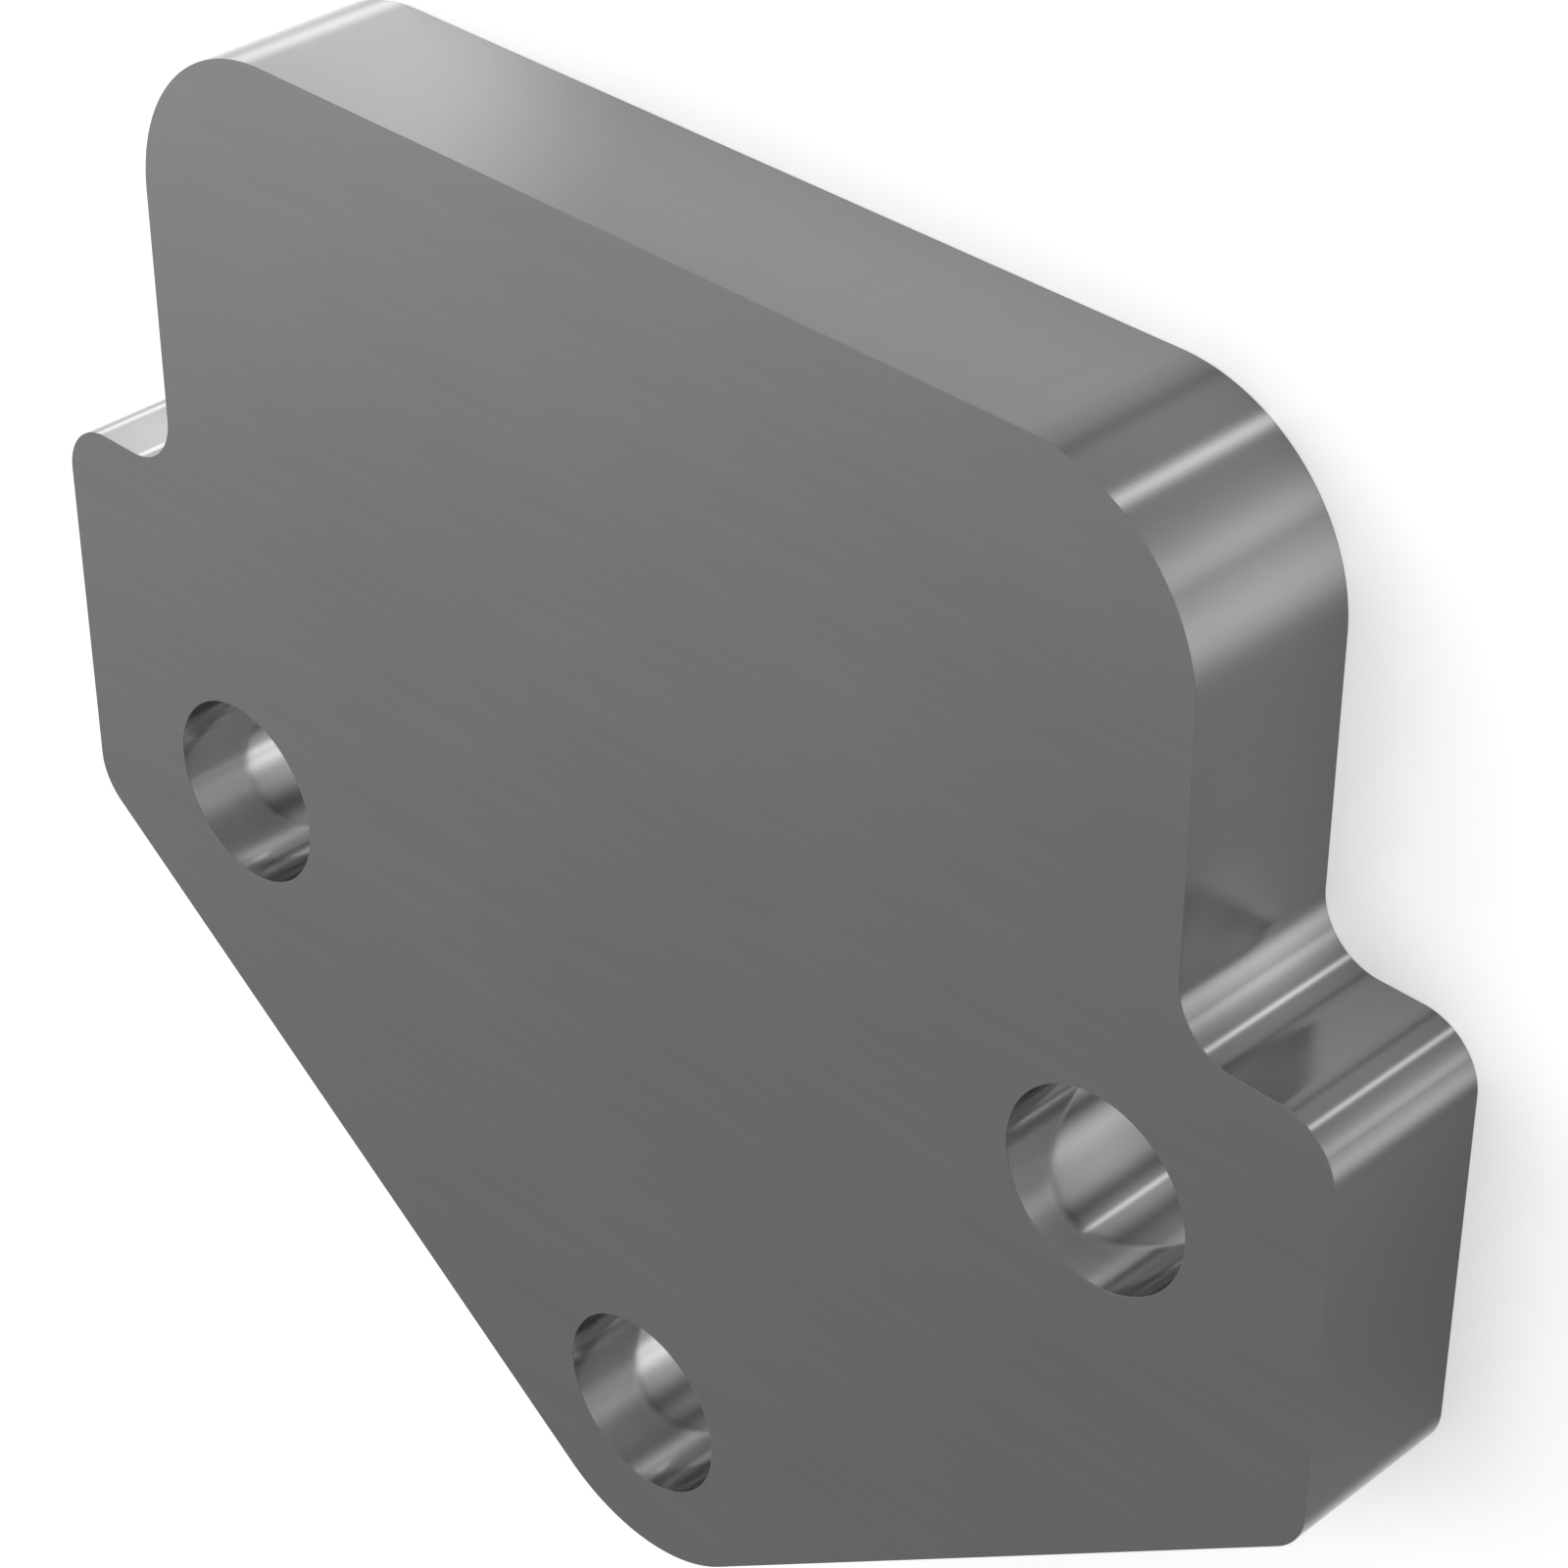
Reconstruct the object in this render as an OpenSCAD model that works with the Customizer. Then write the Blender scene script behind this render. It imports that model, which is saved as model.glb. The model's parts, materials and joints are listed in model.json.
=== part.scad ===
// Swing rotation stop plate: one flat plate cut from bar, drilled for three bolts.
// It lies on its back face. The origin is the centre of the lower hole on that face.
// X runs along the length, Y points to the top edge and Z points out of the front face.

/* [Plate] */
// Thickness of the bar that the plate is cut from
thickness = 9.525; // [6.35:1.5875:15.875]

/* [Stop block] */
// Width of the block that stands above the two shoulders
block_w = 66.675; // [50.8:1.5875:68.2625]
// Height of the block, from the shoulders to the top edge
block_h = 25.4; // [19.05:1.5875:38.1]
// Radius of the two top corners
block_r = 9.525; // [3.175:1.5875:12.7]
// Fillet where the block's sides run into the shoulders
notch_r = 3.175; // [1.5875:0.396875:3.571875]

/* [Ears] */
// Overall width across the two ears
ear_span = 84.1375; // [83.34375:0.79375:95.25]
// Height of an ear's side, from the shoulder to where it meets the diagonal edge
ear_h = 22.54; // [19.54:0.5:26.54]
// Radius of an ear's upper corner
ear_r = 3.175; // [1.5875:0.396875:3.571875]
// Radius of an ear's lower corner
heel_r = 3.175; // [1.5875:0.79375:6.35]

/* [Nose] */
// Radius of the nose, which is struck from the lower hole's centre
nose_r = 9.525; // [7.9375:0.79375:12.7]

/* [Bolt holes] */
// Diameter of the bolts that the three holes take
bolt_d = 9.525; // [6.35:1.5875:11.1125]
// How much wider than its bolt each hole is
bolt_clearance = 0.79375; // [0.2:0.05:1]
// Distance between the two ear holes, along the length
ear_hole_spacing = 58.7375; // [52.3875:1.5875:61.9125]
// How far the left ear hole lies below the shoulders
left_hole_drop = 17.4625; // [9.525:1.5875:19.05]
// How far the right ear hole lies below the shoulders
right_hole_drop = 10.16; // [9.16:0.5:18.16]
// How far the lower hole lies below the shoulders
lower_hole_drop = 41.275; // [38.1:1.5875:50.8]

/* [Hidden] */
$fn = 128;

// Heights above the lower hole's centre
shoulder_y = lower_hole_drop;
top_y = shoulder_y + block_h;
heel_y = shoulder_y - ear_h;

// Half widths
ear_x = ear_span / 2;
block_x = block_w / 2;

// The diagonal edge runs from the heel to the nose, and touches the nose's circle
heel_angle = atan2(heel_y, ear_x);
diagonal_angle = heel_angle + asin(nose_r / norm([ear_x, heel_y]));
nose_tip_y = -nose_r / cos(diagonal_angle);

// Sharp corners of the right half as [x, y, radius], from the heel up to the top edge
right_corners = [
    [ear_x, heel_y, heel_r],
    [ear_x, shoulder_y, ear_r],
    [block_x, shoulder_y, notch_r],
    [block_x, top_y, block_r]
];
left_corners = [for (i = [len(right_corners) - 1 : -1 : 0]) flipped(right_corners[i])];
corners = concat([[0, nose_tip_y, nose_r]], right_corners, left_corners);

// Centres of the bolt holes
ear_hole_x = ear_hole_spacing / 2;
hole_centres = [
    [-ear_hole_x, shoulder_y - left_hole_drop],
    [ear_hole_x, shoulder_y - right_hole_drop],
    [0, 0]
];
hole_d = bolt_d + bolt_clearance;

// How far a drill runs past each face, so that the hole is open
drill_overrun = 1;

function flipped(corner) = [-corner[0], corner[1], corner[2]];
function place(corner) = [corner[0], corner[1]];
function unit(v) = v / norm(v);
function turn(a, b) = a[0] * b[1] - a[1] * b[0];

// The corner before or after corner i, going anticlockwise round the plate
function neighbour(i, step) = corners[(i + step + len(corners)) % len(corners)];

// Unit vectors from corner i back to the last corner and on to the next one
function way_back(i) = unit(place(neighbour(i, -1)) - place(corners[i]));
function way_on(i) = unit(place(neighbour(i, 1)) - place(corners[i]));

// Half of the angle between the two edges that meet at corner i
function half_angle(i) = acos(way_back(i) * way_on(i)) / 2;

// Where the arc of corner i leaves each edge, and the centre it is struck from
function tangent_length(i) = corners[i][2] / tan(half_angle(i));
function arc_start(i) = place(corners[i]) + way_back(i) * tangent_length(i);
function arc_end(i) = place(corners[i]) + way_on(i) * tangent_length(i);
function arc_centre(i) = place(corners[i])
    + unit(way_back(i) + way_on(i)) * corners[i][2] / sin(half_angle(i));

// An outward corner is rounded by adding its circle, an inward one by cutting it away
function is_outward(i) = turn(way_on(i), way_back(i)) > 0;

// Straight edges, with each corner turned in to the centre of its arc
module straight_edges() {
    polygon([for (i = [0 : len(corners) - 1]) each [arc_start(i), arc_centre(i), arc_end(i)]]);
}

// The circles of all the outward corners, or of all the inward ones
module corner_circles(outward) {
    for (i = [0 : len(corners) - 1])
        if (is_outward(i) == outward)
            translate(arc_centre(i))
                circle(r = corners[i][2]);
}

module outline() {
    difference() {
        union() {
            straight_edges();
            corner_circles(true);
        }
        corner_circles(false);
    }
}

module bolt_holes() {
    for (centre = hole_centres)
        translate([centre[0], centre[1], -drill_overrun])
            cylinder(d = hole_d, h = thickness + 2 * drill_overrun);
}

module stop_plate() {
    color("dimgray")
        difference() {
            linear_extrude(height = thickness)
                outline();
            bolt_holes();
        }
}

stop_plate();
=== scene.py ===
"""Looks for the swing rotation stop plate: satin steel with ground faces, milled edges and drilled holes.

The plate is drawn again at its CAD size with smooth arcs and finely broken edges. It lies on a pale floor
under soft light, and the camera looks down on its front face.
"""
import json
import math

import bpy
import numpy as np
from mathutils import Matrix, Vector
from mathutils.geometry import tessellate_polygon


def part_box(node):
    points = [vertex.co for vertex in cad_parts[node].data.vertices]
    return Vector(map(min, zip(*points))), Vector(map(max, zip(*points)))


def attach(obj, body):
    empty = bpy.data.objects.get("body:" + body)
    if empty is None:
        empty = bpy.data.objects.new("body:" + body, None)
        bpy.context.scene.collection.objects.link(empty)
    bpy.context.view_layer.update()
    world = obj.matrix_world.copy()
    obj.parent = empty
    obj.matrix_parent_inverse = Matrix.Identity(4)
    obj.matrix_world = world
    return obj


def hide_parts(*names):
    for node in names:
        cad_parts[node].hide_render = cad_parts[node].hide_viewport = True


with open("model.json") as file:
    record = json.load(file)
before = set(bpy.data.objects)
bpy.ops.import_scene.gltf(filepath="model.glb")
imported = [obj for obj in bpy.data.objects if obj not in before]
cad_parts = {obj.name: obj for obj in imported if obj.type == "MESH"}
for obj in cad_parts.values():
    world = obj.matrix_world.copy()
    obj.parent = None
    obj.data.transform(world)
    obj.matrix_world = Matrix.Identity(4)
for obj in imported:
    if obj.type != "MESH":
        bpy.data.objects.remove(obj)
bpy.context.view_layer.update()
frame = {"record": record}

MM = 0.001
PLATE_NODE = "stop_plate"
PLATE_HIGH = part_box(PLATE_NODE)[1]
MOUNTS = {mount["name"]: mount for mount in frame["record"]["mounts"]}

# Sizes that the frame gives
THICKNESS = PLATE_HIGH.z
EAR_X = PLATE_HIGH.x
TOP_Y = PLATE_HIGH.y
BLOCK_X = MOUNTS["right_block_side"]["pos_m"][0]
BOLT_HOLES = [MOUNTS[name] for name in ("left_ear_hole", "right_ear_hole", "lower_hole")]

# Sizes of the outline that the frame doesn't give
SHOULDER_Y = 41.275 * MM
EAR_HEIGHT = 22.54 * MM
BLOCK_RADIUS = 9.525 * MM
NOTCH_RADIUS = 3.175 * MM
EAR_RADIUS = 3.175 * MM
HEEL_RADIUS = 3.175 * MM
NOSE_RADIUS = 9.525 * MM

# How finely the plate is drawn
ARC_STEP = math.radians(1.25)
HOLE_POINTS = 288
EDGE_BREAK = 0.03 * MM
EDGE_BREAK_STEPS = 4
FLAT_MARGIN = 0.2 * MM

# Which of the plate's materials a stretch of it takes. The outline's edge takes the first cut material, and
# the bores take the next ones.
FACE = 0
BROKEN = 1
FIRST_CUT = 2


def unit(vectors):
    """Each vector divided by its length."""
    return vectors / np.linalg.norm(vectors, axis=-1, keepdims=True)


def outline_corners():
    """The plate's sharp corners as rows of x, y and radius, anticlockwise from the tip of the nose.

    The diagonal edge leaves the heel at the angle at which it touches the nose's circle, which is struck
    from the lower hole's centre.
    """
    heel_y = SHOULDER_Y - EAR_HEIGHT
    diagonal = math.atan2(heel_y, EAR_X) + math.asin(NOSE_RADIUS / math.hypot(EAR_X, heel_y))
    tip = [0, -NOSE_RADIUS / math.cos(diagonal), NOSE_RADIUS]
    right = np.array([
        [EAR_X, heel_y, HEEL_RADIUS],
        [EAR_X, SHOULDER_Y, EAR_RADIUS],
        [BLOCK_X, SHOULDER_Y, NOTCH_RADIUS],
        [BLOCK_X, TOP_Y, BLOCK_RADIUS],
    ])
    left = right[::-1] * [-1, 1, 1]
    return np.vstack([tip, right, left])


def outline_path():
    """Points round the plate and the outward normal at each, with every corner replaced by a true arc.

    A corner's arc starts and ends radius / tan(half angle) from the corner, and its normal turns evenly from
    one edge's normal to the next one's. An inward corner turns the other way, round a centre outside the
    plate.
    """
    corners = outline_corners()
    points, radii = corners[:, :2], corners[:, 2]
    back = unit(np.roll(points, 1, 0) - points)
    on = unit(np.roll(points, -1, 0) - points)
    half_angle = np.arccos((back * on).sum(1)) / 2
    centres = points + unit(back + on) * (radii / np.sin(half_angle))[:, None]
    turn = on[:, 0] * back[:, 1] - on[:, 1] * back[:, 0]
    outward = np.sign(turn)
    first = np.arctan2(back[:, 0], -back[:, 1])
    sweep = outward * (math.pi - 2 * half_angle)
    path, normals = [], []
    for centre, radius, side, start, angle in zip(centres, radii, outward, first, sweep):
        count = math.ceil(abs(angle) / ARC_STEP)
        turned = start + np.linspace(0, angle, count + 1)
        normal = np.stack([np.cos(turned), np.sin(turned)], 1)
        path.append(centre + side * radius * normal)
        normals.append(normal)
    return np.vstack(path), np.vstack(normals)


def hole_path(mount):
    """Points round a bolt hole, clockwise, and at each the normal from the steel towards the axis."""
    angle = -np.linspace(0, 2 * math.pi, HOLE_POINTS, endpoint=False)
    spoke = np.stack([np.cos(angle), np.sin(angle)], 1)
    return np.array(mount["pos_m"][:2]) + spoke * mount["dims"]["r_mm"] * MM, -spoke


def edge_section():
    """The section of a broken edge from the front face to the back: inset, height and tilt of the normal.

    It is a flat margin, a quarter round of EDGE_BREAK, the straight wall, and the same again upside down.
    """
    tilt = np.linspace(0, math.pi / 2, EDGE_BREAK_STEPS + 1)
    inset = np.concatenate([[EDGE_BREAK + FLAT_MARGIN], EDGE_BREAK * (1 - np.sin(tilt))])
    height = np.concatenate([[THICKNESS], THICKNESS - EDGE_BREAK * (1 - np.cos(tilt))])
    tilt = np.concatenate([[0], tilt])
    return (
        np.concatenate([inset, inset[::-1]]),
        np.concatenate([height, THICKNESS - height[::-1]]),
        np.concatenate([tilt, math.pi - tilt[::-1]]),
    )


def carried_edge(path, normals):
    """The edge section carried along a closed path: points, normals, ways out, quads, their UV, and rings.

    The UV is the distance along the path and the height, both in metres.
    """
    inset, height, tilt = edge_section()
    rings, steps = len(inset), len(path)
    flat = path[None] - inset[:, None, None] * normals[None]
    points = np.dstack([flat, np.broadcast_to(height[:, None], (rings, steps))])
    sideways = np.sin(tilt)[:, None, None] * normals[None]
    shading = np.dstack([sideways, np.broadcast_to(np.cos(tilt)[:, None], (rings, steps))])
    outwards = np.dstack([sideways, np.zeros((rings, steps))])
    index = np.arange(rings * steps).reshape(rings, steps)
    beside = np.roll(index, -1, 1)
    quads = np.stack([index[:-1], index[1:], beside[1:], beside[:-1]], -1).reshape(-1, 4)
    gaps = np.linalg.norm(np.roll(path, -1, 0) - path, axis=1)
    along = np.concatenate([[0], np.cumsum(gaps)])
    strips = (rings - 1, steps)
    here, there = (np.broadcast_to(distance, strips) for distance in (along[:-1], along[1:]))
    upper, lower = (np.broadcast_to(level[:, None], strips) for level in (height[:-1], height[1:]))
    corners = [(here, upper), (here, lower), (there, lower), (there, upper)]
    uv = np.stack([np.stack(corner, -1) for corner in corners], 2).reshape(-1, 2)
    return points.reshape(-1, 3), shading.reshape(-1, 3), outwards.reshape(-1, 3), quads, uv, index


def face_triangles(points, rings):
    """Triangles that fill the flat face between the outline's ring and the holes' rings, all facing up."""
    loops = [[Vector(point) for point in points[ring]] for ring in rings]
    order = np.concatenate(rings)
    triangles = order[np.array(tessellate_polygon(loops))]
    a, b, c = (points[triangles[:, corner], :2] for corner in range(3))
    area = (b - a)[:, 0] * (c - a)[:, 1] - (b - a)[:, 1] * (c - a)[:, 0]
    triangles[area < 0] = triangles[area < 0][:, ::-1]
    return triangles


def steel_plate(face, broken_edge, milled_edge, bores):
    """The whole plate as one closed mesh: the outline's edge, three bolt holes and the faces between them.

    Every point has its exact normal. From front to back an edge is a margin of the face, the broken edge,
    the straight wall, and the same again.
    """
    points, shading, outwards, quads, uvs, tops, bottoms, finish = [], [], [], [], [], [], [], []
    broken = [BROKEN] * EDGE_BREAK_STEPS
    start = 0
    paths = [outline_path()] + [hole_path(mount) for mount in BOLT_HOLES]
    for cut, (path, normals) in enumerate(paths, FIRST_CUT):
        edge, normal, outward, faces, uv, index = carried_edge(path, normals)
        points.append(edge)
        shading.append(normal)
        outwards.append(outward)
        quads.append(faces + start)
        uvs.append(uv)
        finish.append(np.repeat([FACE] + broken + [cut] + broken + [FACE], len(path)))
        tops.append(index[0] + start)
        bottoms.append(index[-1] + start)
        start += len(edge)
    points = np.vstack(points)
    front = face_triangles(points, tops)
    rear = face_triangles(points, bottoms)[:, ::-1]
    flats = np.vstack([front, rear])
    mesh = bpy.data.meshes.new("steel_plate")
    mesh.from_pydata(points, [], np.vstack(quads).tolist() + flats.tolist())
    uvs.append(points[flats.ravel(), :2])
    mesh.uv_layers.new(name="surface").uv.foreach_set("vector", np.vstack(uvs).ravel())
    finish.append(np.full(len(flats), FACE))
    mesh.polygons.foreach_set("material_index", np.concatenate(finish).astype(np.int32))
    mesh.polygons.foreach_set("use_smooth", np.ones(len(mesh.polygons), bool))
    way = mesh.attributes.new("way_out", "FLOAT_VECTOR", "POINT")
    way.data.foreach_set("vector", np.vstack(outwards).ravel())
    for material in [face, broken_edge, milled_edge] + bores:
        mesh.materials.append(material)
    mesh.update()
    mesh.normals_split_custom_set_from_vertices(np.vstack(shading))
    plate = bpy.data.objects.new("steel_plate", mesh)
    bpy.context.scene.collection.objects.link(plate)
    return plate


class Signal:
    """What comes out of a node's socket. Its operators add the Math nodes."""

    def __init__(self, nodes, socket):
        self.nodes = nodes
        self.socket = socket

    def maths(self, operation, *values):
        """Adds a Math node on these numbers."""
        return self.nodes.add("ShaderNodeMath", {"operation": operation}, dict(enumerate(values)))

    def __add__(self, other):
        return self.maths("ADD", self, other)

    __radd__ = __add__

    def __sub__(self, other):
        return self.maths("SUBTRACT", self, other)

    def __rsub__(self, other):
        return self.maths("SUBTRACT", other, self)

    def __mul__(self, other):
        return self.maths("MULTIPLY", self, other)

    __rmul__ = __mul__

    def __truediv__(self, other):
        return self.maths("DIVIDE", self, other)

    def exp(self):
        return self.maths("EXPONENT", self)


class Nodes:
    """The nodes of one material or world, built up by add()."""

    def __init__(self, owner):
        owner.use_nodes = True
        self.tree = owner.node_tree
        self.tree.nodes.clear()

    def add(self, kind, settings=None, inputs=None, output=0):
        """Adds a node, sets its settings, then its sockets, and returns the signal at one of its outputs."""
        node = self.tree.nodes.new(kind)
        for name, value in (settings or {}).items():
            setattr(node, name, value)
        for name, value in (inputs or {}).items():
            if isinstance(value, Signal):
                self.tree.links.new(value.socket, node.inputs[name])
            else:
                node.inputs[name].default_value = value
        return Signal(self, node.outputs[output]) if node.outputs else node

    def grey(self, value):
        """The same number as a colour."""
        return self.add("ShaderNodeCombineColor", None, {"Red": value, "Green": value, "Blue": value})

    def vectors(self, operation, *values, output=0):
        """Adds a Vector Math node on these vectors."""
        return self.add("ShaderNodeVectorMath", {"operation": operation}, dict(enumerate(values)), output)

    def dot(self, vector, other):
        """The dot product of two vectors, as a number."""
        return self.vectors("DOT_PRODUCT", vector, other, output="Value")

    def distance(self, vector, other):
        """How far apart two points are."""
        return self.vectors("DISTANCE", vector, other, output="Value")


# The steel's tone, how much of its light comes back as a metal's does, and how matt each finish is. The rest
# of the light scatters from the finest scratches.
GROUND_TONE = 0.34
# The milled edge's low tone is partly painted shade
CUT_TONE = 0.19
# The bores' high tone is partly painted light that lifts the shade inside the holes
BORE_TONE = 0.44
GROUND_METALLIC = 0.8
CUT_METALLIC = 0.5
BORE_METALLIC = 0.85
GROUND_ROUGHNESS = 0.22
BROKEN_ROUGHNESS = 0.4
CUT_ROUGHNESS = 0.16
BORE_ROUGHNESS = 0.11

# The grain and clouds of the ground faces, and the fine marks on the cut edges. The cells are how many their
# noise has in a metre, along each axis. The rest is how far they change the tone, the roughness and the
# height.
GRAIN_CELLS = (60, 1600, 1600)
GRAIN_TONE = 0.025
GRAIN_ROUGHNESS = 0.04
GRAIN_DEPTH = 0.0002 * MM
CLOUD_CELLS = (60, 110, 60)
CLOUD_TONE = 0.02
CLOUD_ROUGHNESS = 0.03
CUTTER_MARK_CELLS = (1200, 50, 1)
DRILL_MARK_CELLS = (60, 1500, 1)
MARK_TONE = 0.015
MARK_ROUGHNESS = 0.03
MARK_DEPTH = 0.0001 * MM

# Painted reflections on the milled edge: streaks through the thickness, lighter or darker, wherever the edge
# faces a set heading. Each is the heading of the edge's outward normal in degrees, the line's half width in
# degrees, and how much lighter or darker than the steel it is.
PAINTED_REFLECTION_STREAKS = [
    (0, 6, -0.045),
    (11, 3.5, -0.045),
    (22, 7, 0.29),
    (33, 1.4, -0.045),
    (38, 4, 0.22),
    (46, 4, 0.045),
    (59.5, 1.6, 0.49),
    (78, 2, -0.063),
    (89, 4, 0.041),
    (93.5, 1.5, -0.054),
    (99.5, 3.5, 0.36),
    (107, 3, -0.14),
    (120, 5, 0.198),
    (129, 2.5, -0.027),
    (139, 5, 0.198),
]

# Painted reflections in the bores: streaks, each given as the edge's streaks are, but its last two numbers
# are how much lighter or darker it is near the front and near the back.
LEFT_BORE_REFLECTIONS = [
    (-15.2, 3.6, 0.54, 0),
    (6.1, 4.1, -0.02, -0.29),
    (19.9, 2, 0.17, 0.42),
    (26.5, 3.7, 0.28, 0.53),
    (35.8, 5, 0.31, 0),
    (57.8, 9.2, -0.08, -0.35),
    (77, 3.7, 0.54, -0.09),
    (87.6, 4.9, 0.16, 0),
]
RIGHT_BORE_REFLECTIONS = [
    (-6.6, 5.4, 0.2, -0.02),
    (9.6, 5.1, 0.02, -0.32),
    (25.6, 4.4, 0.09, 0.14),
    (41.9, 5.4, 0.38, -0.03),
    (56.9, 5.3, 0.02, -0.3),
    (66, 1.1, 0, 0.53),
    (80.8, 6.3, 0.05, -0.29),
    (93.1, 4.8, 0.39, -0.16),
    (104.6, 5, -0.13, 0),
]
LOWER_BORE_REFLECTIONS = [
    (-5.6, 4.7, 0.54, 0),
    (10.1, 7, -0.07, 0),
    (23.6, 2.7, 0, 0.39),
    (31.2, 4.2, 0.23, 0.53),
    (41.8, 5.1, 0.35, 0),
    (57, 7, -0.02, -0.31),
    (74.9, 6, -0.1, -0.31),
    (85.5, 3.9, 0.54, -0.14),
    (102.8, 2.9, -0.11, 0),
]

# The height at which a bore's painted reflections change from back to front slants across the bore: the
# heading in degrees at which it is highest, and that height. The change spreads over LINE_CHANGE above and
# below it.
LEFT_BORE_SLANT = (40, 6.1 * MM)
RIGHT_BORE_SLANT = (52, 7.8 * MM)
LOWER_BORE_SLANT = (51, 6.2 * MM)
LINE_CHANGE = 0.3 * MM

# Patches of painted light and shade on the milled edge, alike on both sides of the plate: painted light lifts
# the shade in the inner corners and on the shoulders, and painted shade darkens the ears' sides a little.
# Each is the middle of the patch on the right and how far it spreads, both in mm, the heading that it keeps
# to and its half width in degrees, how much brighter it is, as a share of the tone, and how much more matt.
PAINTED_LIGHT_PATCHES = [
    ((33.4, 45.4, 8.7), 2.9, 0, 9, 1.9, 0.1),
    ((34, 43.3, 3.5), 4.5, 40, 30, 0.65, 0.05),
    ((33.4, 43.8, 5.1), 1.7, 0, 6, 1.2, 0),
    ((37, 41.3, 8), 4, 90, 20, 0.45, 0.03),
    ((42.1, 26, 4.8), 18, 0, 12, -0.6, 0),
]

# How much painted light brightens the milled edge at the back and painted shade darkens it at the front, as a
# share of its tone
PAINTED_BACK_LIGHT = 0.1

# A painted sheen lightens the left end of the top edge: how much lighter it is, where along X it starts to
# fade and where the fade ends, how far both shift along X for each metre of height, the heading of the top
# edge, and the half width in degrees.
PAINTED_SHEEN_GAIN = 0.235
BRIGHT_UNTIL = -19 * MM
BRIGHT_OVER = -3.5 * MM
BRIGHT_LEAN = 0.8
TOP_HEADING = 90
BRIGHT_WIDTH = 30


def noise(nodes, place, cells):
    """Soft noise from -0.5 to 0.5, with a set number of cells a metre along each axis."""
    placed = nodes.add("ShaderNodeMapping", {"vector_type": "POINT"}, {"Vector": place, "Scale": cells})
    inputs = {"Vector": placed, "Scale": 1.0, "Detail": 1.0, "Roughness": 0.5}
    return nodes.add("ShaderNodeTexNoise", {"noise_dimensions": "3D"}, inputs) - 0.5


def fading(nodes, value, start, end):
    """From 1 where the value is below the start, smoothly down to 0 at the end."""
    inputs = {"Value": value, "From Min": start, "From Max": end, "To Min": 1, "To Max": 0}
    return nodes.add("ShaderNodeMapRange", {"interpolation_type": "SMOOTHSTEP"}, inputs)


def toward(heading, length=1.0):
    """A flat vector of a set length, along a heading in degrees from +X."""
    angle = math.radians(heading)
    return (math.cos(angle) * length, math.sin(angle) * length, 0)


def close_to(nodes, way_out, heading, width):
    """From 1 where the edge faces a heading down to 0, over a half width in degrees.

    It is exp((cos(angle from the heading) - 1) / half width ** 2), in radians.
    """
    return ((nodes.dot(way_out, toward(heading)) - 1) / math.radians(width) ** 2).exp()


def plain_grey(tone):
    """A grey colour for a socket that nothing is joined to."""
    return (tone, tone, tone, 1)


def finish_steel(nodes, tone, metallic, roughness, height):
    """Joins the signals of a steel finish to its shader. The height is in metres."""
    bump = nodes.add("ShaderNodeBump", None, {"Strength": 1.0, "Distance": 1.0, "Height": height})
    inputs = {"Base Color": nodes.grey(tone), "Roughness": roughness, "Metallic": metallic, "Normal": bump}
    shader = nodes.add("ShaderNodeBsdfPrincipled", None, inputs)
    nodes.add("ShaderNodeOutputMaterial", None, {"Surface": shader})


def ground_face():
    """Ground faces: fine straight grain along the plate's length, with faint clouds from the wheel."""
    material = bpy.data.materials.new("ground_face")
    nodes = Nodes(material)
    place = nodes.add("ShaderNodeTexCoord", None, None, "Object")
    grain = noise(nodes, place, GRAIN_CELLS)
    clouds = noise(nodes, place, CLOUD_CELLS)
    tone = GROUND_TONE + grain * GRAIN_TONE + clouds * CLOUD_TONE
    roughness = GROUND_ROUGHNESS + grain * GRAIN_ROUGHNESS + clouds * CLOUD_ROUGHNESS
    finish_steel(nodes, tone, GROUND_METALLIC, roughness, grain * GRAIN_DEPTH)
    return material


def broken_edge():
    """The sharp edges rubbed off by hand, matt and even."""
    material = bpy.data.materials.new("broken_edge")
    nodes = Nodes(material)
    inputs = {
        "Base Color": plain_grey(CUT_TONE),
        "Roughness": BROKEN_ROUGHNESS,
        "Metallic": CUT_METALLIC,
    }
    shader = nodes.add("ShaderNodeBsdfPrincipled", None, inputs)
    nodes.add("ShaderNodeOutputMaterial", None, {"Surface": shader})
    return material


def cut_place(nodes):
    """The way out of a cut edge, the place on it as a UV, and its height above the back in metres."""
    way_out = nodes.add("ShaderNodeAttribute", {"attribute_name": "way_out"}, None, "Vector")
    place = nodes.add("ShaderNodeUVMap", {"uv_map": "surface"})
    height = nodes.add("ShaderNodeSeparateXYZ", None, {"Vector": place}, "Y")
    return way_out, place, height


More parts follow.
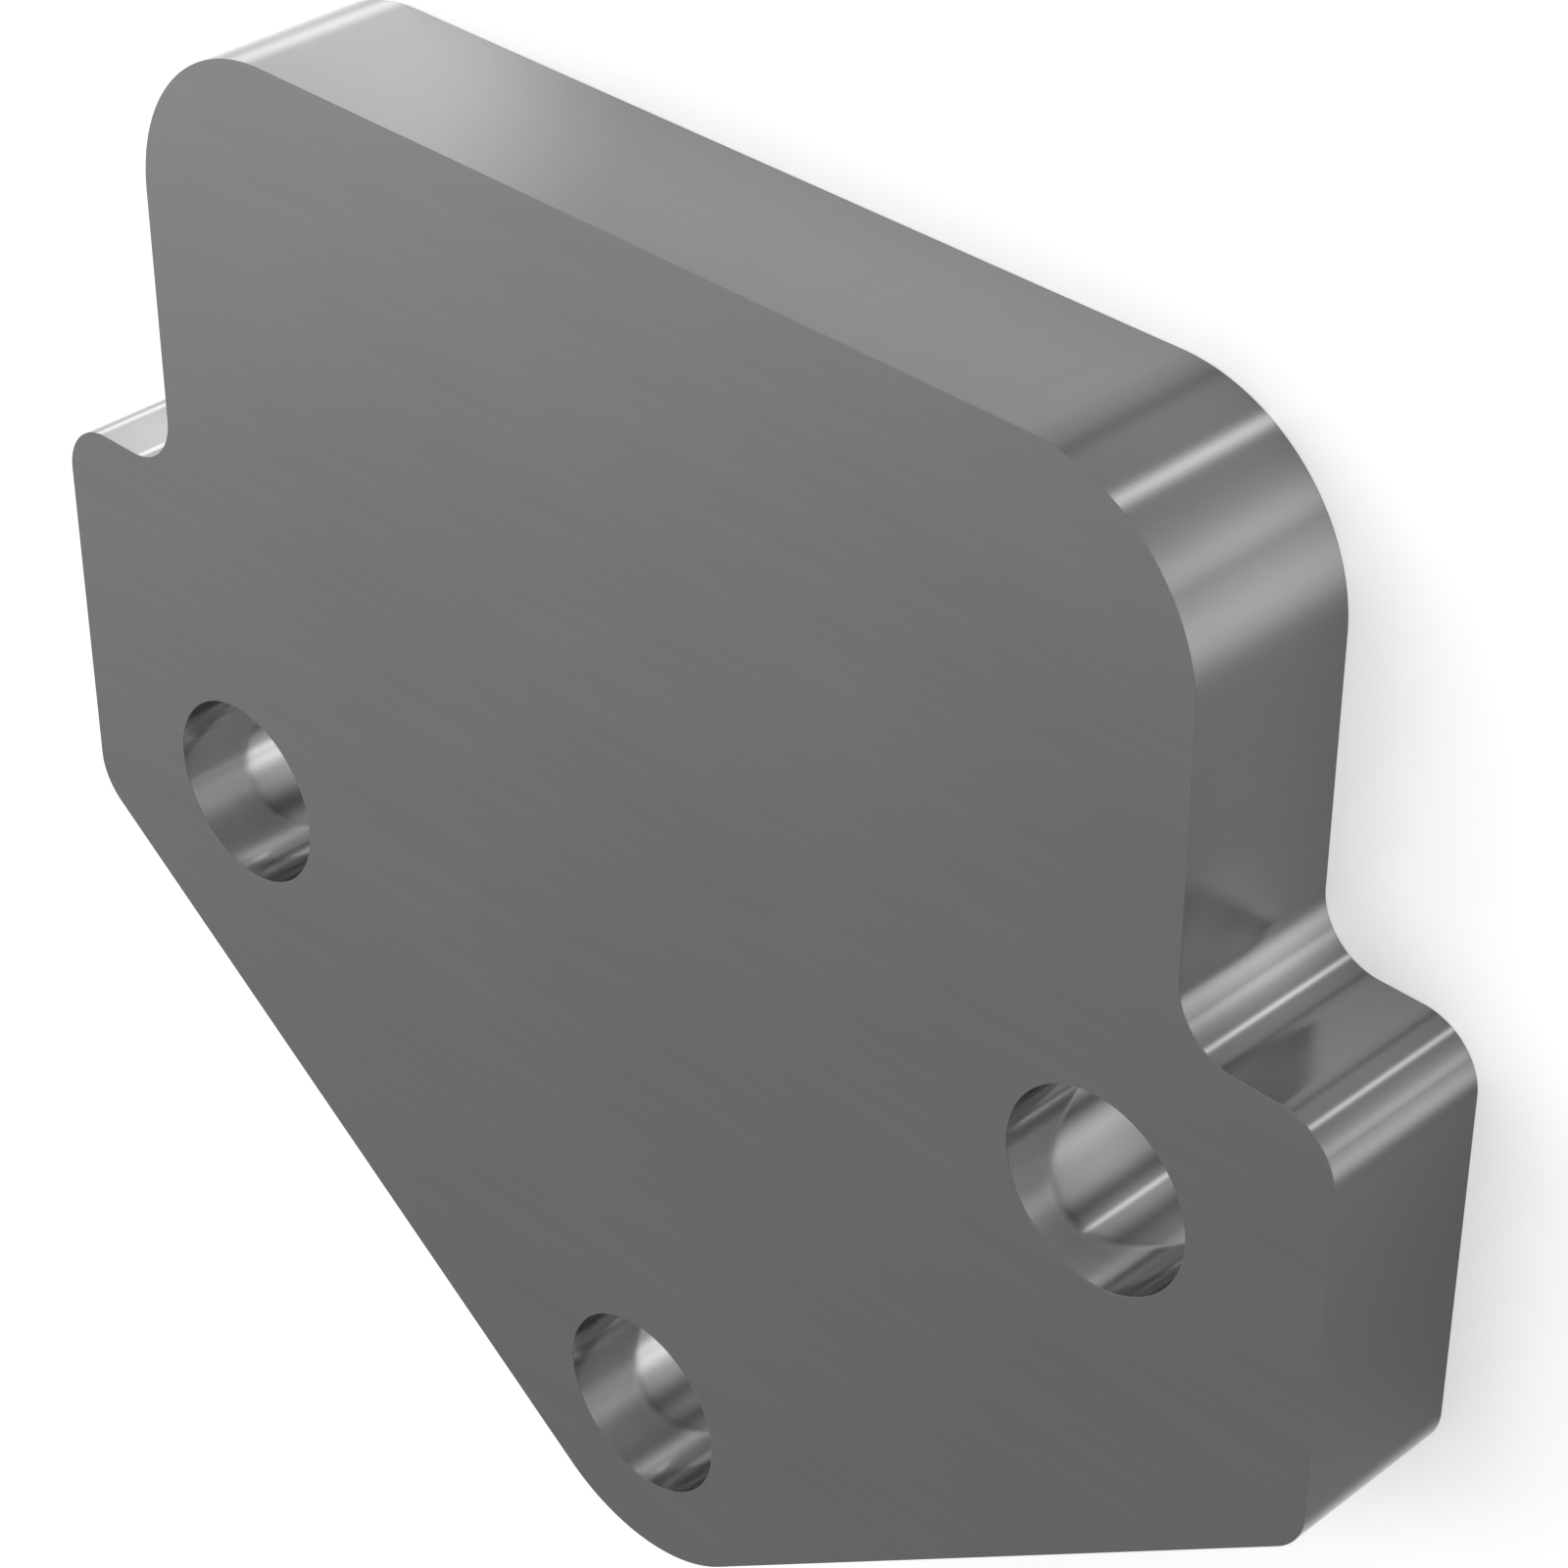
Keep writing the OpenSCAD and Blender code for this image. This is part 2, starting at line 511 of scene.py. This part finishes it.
def painted_edge_light(nodes, way_out, height, tone, roughness):
    """The milled edge's painted sheen at one end, its patches of painted light and shade, and painted light
    that lifts its tone a little towards the back.

    A patch fades from its middle as exp(-(distance / spread) ** 2), and as the edge turns away from its
    heading.
    """
    place = nodes.add("ShaderNodeTexCoord", None, None, "Object")
    # Painted sheen at the left end of the top edge
    along = nodes.dot(place, (1, 0, -BRIGHT_LEAN)) + BRIGHT_LEAN * THICKNESS / 2
    bright = fading(nodes, along, BRIGHT_UNTIL, BRIGHT_OVER)
    tone = tone + bright * close_to(nodes, way_out, TOP_HEADING, BRIGHT_WIDTH) * PAINTED_SHEEN_GAIN
    # Painted light towards the back and painted shade towards the front
    tone = tone * (1 + PAINTED_BACK_LIGHT - height * (2 * PAINTED_BACK_LIGHT / THICKNESS))
    either_side = nodes.vectors("ABSOLUTE", place)
    either_way = nodes.vectors("ABSOLUTE", way_out)
    # Patches of painted light and shade
    for middle, spread, heading, width, gain, more_matt in PAINTED_LIGHT_PATCHES:
        off = nodes.distance(either_side, [size * MM for size in middle])
        patch = (off * off / -(spread * MM) ** 2).exp() * close_to(nodes, either_way, heading, width)
        tone = tone * (patch * gain + 1)
        roughness = roughness + patch * more_matt
    return tone, roughness


def milled_edge():
    """The outline's edge: fine marks, painted reflection streaks through the thickness, and painted sheen,
    light and shade in places.
    """
    material = bpy.data.materials.new("milled_edge")
    nodes = Nodes(material)
    way_out, place, height = cut_place(nodes)
    marks = noise(nodes, place, CUTTER_MARK_CELLS)
    tone = CUT_TONE + marks * MARK_TONE
    # Painted reflection streaks, lighter or darker by the edge's heading
    for heading, width, gain in PAINTED_REFLECTION_STREAKS:
        tone = tone + close_to(nodes, way_out, heading, width) * gain
    tone, roughness = painted_edge_light(nodes, way_out, height, tone, CUT_ROUGHNESS)
    finish_steel(nodes, tone, CUT_METALLIC, roughness + marks * MARK_ROUGHNESS, marks * MARK_DEPTH)
    return material


def drilled_bore(name, lines, slant):
    """A bolt hole's wall: fine marks round it, and painted reflection streaks, which change from front to
    back.
    """
    material = bpy.data.materials.new(name)
    nodes = Nodes(material)
    way_out, place, height = cut_place(nodes)
    marks = noise(nodes, place, DRILL_MARK_CELLS)
    tone = BORE_TONE + marks * MARK_TONE
    above = height - nodes.dot(way_out, toward(*slant))
    near_back = fading(nodes, above, -LINE_CHANGE, LINE_CHANGE)
    # Painted reflection streaks, lighter or darker by heading, changing from front to back
    for heading, width, front, back in lines:
        gain = front + near_back * (back - front)
        tone = tone + close_to(nodes, way_out, heading, width) * gain
    roughness = BORE_ROUGHNESS + marks * MARK_ROUGHNESS
    finish_steel(nodes, tone, BORE_METALLIC, roughness, marks * MARK_DEPTH)
    return material


# The floor: its width, its colour, how matt it is, how strong its sheen is, and how much it is lifted towards
# white by the rays that see it, straight on, in a reflection or through glass
FLOOR_WIDTH = 12
FLOOR_TONE = 0.9
FLOOR_ROUGHNESS = 0.14
FLOOR_SHEEN = 0.4
FLOOR_LIFT = 0.4
SEEN_BY = ("Is Camera Ray", "Is Glossy Ray", "Is Transmission Ray")


def pale_floor():
    """A plain pale floor with a satin finish. It keeps the plate's shadow, softened by the lift."""
    bpy.ops.mesh.primitive_plane_add(size=FLOOR_WIDTH)
    floor = bpy.context.object
    floor.name = "floor"
    material = bpy.data.materials.new("pale_floor")
    nodes = Nodes(material)
    seen = sum(nodes.add("ShaderNodeLightPath", None, None, ray) for ray in SEEN_BY)
    lift = nodes.add("ShaderNodeEmission", None, {"Strength": seen * FLOOR_LIFT})
    inputs = {
        "Base Color": plain_grey(FLOOR_TONE),
        "Roughness": FLOOR_ROUGHNESS,
        "Specular IOR Level": FLOOR_SHEEN,
    }
    paint = nodes.add("ShaderNodeBsdfPrincipled", None, inputs)
    both = nodes.add("ShaderNodeAddShader", None, {0: paint, 1: lift})
    nodes.add("ShaderNodeOutputMaterial", None, {"Surface": both})
    floor.data.materials.append(material)


def direction(azimuth, elevation):
    """A unit vector from its azimuth, anticlockwise from +X, and its elevation, both in degrees."""
    around = math.radians(azimuth)
    above = math.radians(elevation)
    return Vector((math.cos(above) * math.cos(around), math.cos(above) * math.sin(around), math.sin(above)))


# The studio round the plate: how bright its even grey is, the soft glow on the plate's left and where it
# comes from, and the pale haze near the floor. The sharper the glow or the haze is, the narrower it is.
SKY_LEVEL = 0.2
GLOW_LEVEL = 1.65
GLOW_FROM = direction(183.6, 41.5)
GLOW_SHARPNESS = 18.2
HAZE_LEVEL = 0.7
HAZE_SHARPNESS = 20

# The lamps: a key lamp and a wider one on the plate's left, towards the top edge, and one overhead. Each has
# its azimuth and elevation in degrees, its energy, and how wide it looks in degrees.
LAMPS = [
    ("key", 153, 33, 0.25, 30),
    ("wide", 153, 45, 0.35, 60),
    ("overhead", 0, 90, 1.15, 60),
]


def studio_sky():
    """The studio's light: an even grey, a soft glow on one side, and pale near the floor."""
    world = bpy.data.worlds.new("studio")
    bpy.context.scene.world = world
    nodes = Nodes(world)
    ray = nodes.add("ShaderNodeTexCoord", None, None, "Generated")
    glow = ((nodes.dot(ray, GLOW_FROM) - 1) * GLOW_SHARPNESS).exp()
    rise = nodes.dot(ray, (0, 0, 1))
    haze = (rise * rise * -HAZE_SHARPNESS).exp()
    level = SKY_LEVEL + glow * GLOW_LEVEL + haze * HAZE_LEVEL
    background = nodes.add("ShaderNodeBackground", None, {"Color": nodes.grey(level), "Strength": 1.0})
    nodes.add("ShaderNodeOutputWorld", None, {"Surface": background})


def lamp(name, azimuth, elevation, energy, width):
    """A soft lamp, far off in a set direction. Its energy is what falls on a surface that faces it."""
    light = bpy.data.lights.new(name, "SUN")
    light.energy = energy
    light.angle = math.radians(width)
    holder = bpy.data.objects.new(name, light)
    holder.rotation_mode = "QUATERNION"
    holder.rotation_quaternion = direction(azimuth, elevation).to_track_quat("Z", "Y")
    bpy.context.scene.collection.objects.link(holder)


# The camera: the point it looks at, how far it stands round from +Z towards +X, how far it rises from there
# towards +Y, how far off it is, its lens, and the nearest that it sees
AIM = Vector((5.6 * MM, 38.78 * MM, THICKNESS / 2))
CAMERA_TURN = math.radians(45)
CAMERA_RISE = math.radians(34.08)
CAMERA_DISTANCE = 200.9 * MM
LENS_MM = 99.8
SENSOR_MM = 36
NEAREST_SEEN = 10 * MM


def stand_camera():
    """The camera, held so that the plate's +Y points up in its picture."""
    back = Vector((
        math.cos(CAMERA_RISE) * math.sin(CAMERA_TURN),
        math.sin(CAMERA_RISE),
        math.cos(CAMERA_RISE) * math.cos(CAMERA_TURN),
    ))
    right = Vector((0, 1, 0)).cross(back).normalized()
    up = back.cross(right)
    data = bpy.data.cameras.new("camera")
    data.lens = LENS_MM
    data.sensor_width = SENSOR_MM
    data.clip_start = NEAREST_SEEN
    camera = bpy.data.objects.new("camera", data)
    stand = Matrix((right, up, back)).transposed().to_4x4()
    stand.translation = AIM + back * CAMERA_DISTANCE
    camera.matrix_world = stand
    bpy.context.scene.collection.objects.link(camera)
    bpy.context.scene.camera = camera


bores = [
    drilled_bore("left_bore", LEFT_BORE_REFLECTIONS, LEFT_BORE_SLANT),
    drilled_bore("right_bore", RIGHT_BORE_REFLECTIONS, RIGHT_BORE_SLANT),
    drilled_bore("lower_bore", LOWER_BORE_REFLECTIONS, LOWER_BORE_SLANT),
]
plate = steel_plate(ground_face(), broken_edge(), milled_edge(), bores)
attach(plate, "root")
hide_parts(PLATE_NODE)

stand_camera()
pale_floor()
studio_sky()
for name, azimuth, elevation, energy, width in LAMPS:
    lamp(name, azimuth, elevation, energy, width)

bpy.context.scene.view_settings.view_transform = "Standard"
